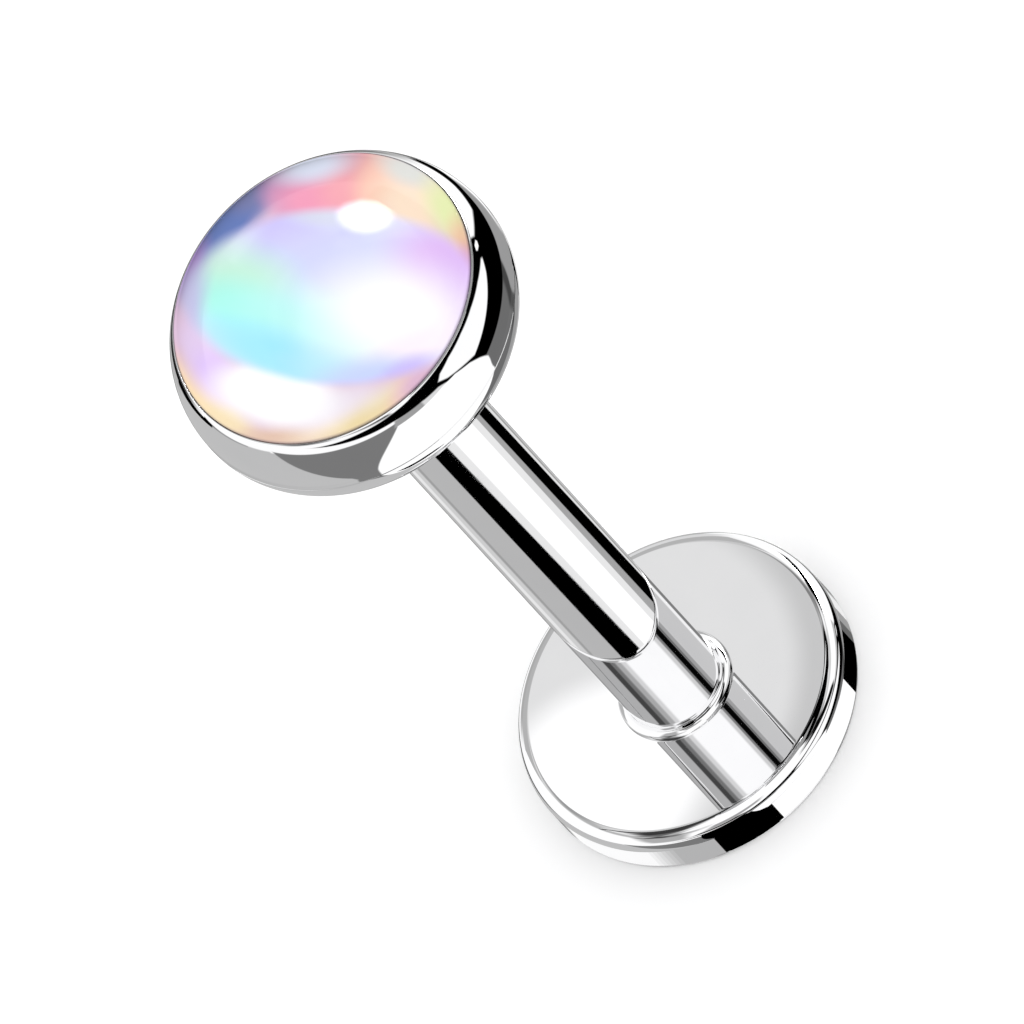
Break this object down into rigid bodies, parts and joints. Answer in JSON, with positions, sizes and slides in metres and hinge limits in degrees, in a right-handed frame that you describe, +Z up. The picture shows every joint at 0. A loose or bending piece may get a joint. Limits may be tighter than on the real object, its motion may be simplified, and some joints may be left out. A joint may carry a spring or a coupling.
{
  "type": "piercing stud",
  "caption": "Flat-backed piercing stud: a round disc and tubular post in polished steel, with a screw-on round cup that holds an iridescent domed stone.",
  "frame": {"origin": "centre of the flat disc's underside, on the surface that the stud stands on", "axes": "+Z up the post's centre line from the disc to the stone; the stud is round about it, so X and Y are any two directions across the disc"},
  "size_m": [0.0042, 0.0042, 0.0113],
  "materials": {
    "polished_steel": "mirror-polished stainless steel",
    "turned_steel": "bright turned stainless steel",
    "iridescent_glass": "glossy opalescent glass over a shifting pastel foil"
  },
  "bodies": {
    "post": {"flat_back_post": "polished_steel"},
    "pin": {"threaded_pin": "turned_steel"},
    "top": {"setting_cup": "polished_steel", "cabochon": "iridescent_glass"}
  },
  "joints": [
    {"name": "screw_rise", "type": "slide", "parent": "post", "child": "pin", "axis": [0, 0, 1], "range_m": [0, 0.0014]},
    {"name": "screw_turn", "type": "hinge", "parent": "pin", "child": "top", "pos_m": [0, 0, 0], "axis": [0, 0, 1], "range_deg": [0, 2520]}
  ],
  "couplings": [
    {"joint": "screw_turn", "follows": "screw_rise", "rad_per_m": 31416}
  ]
}
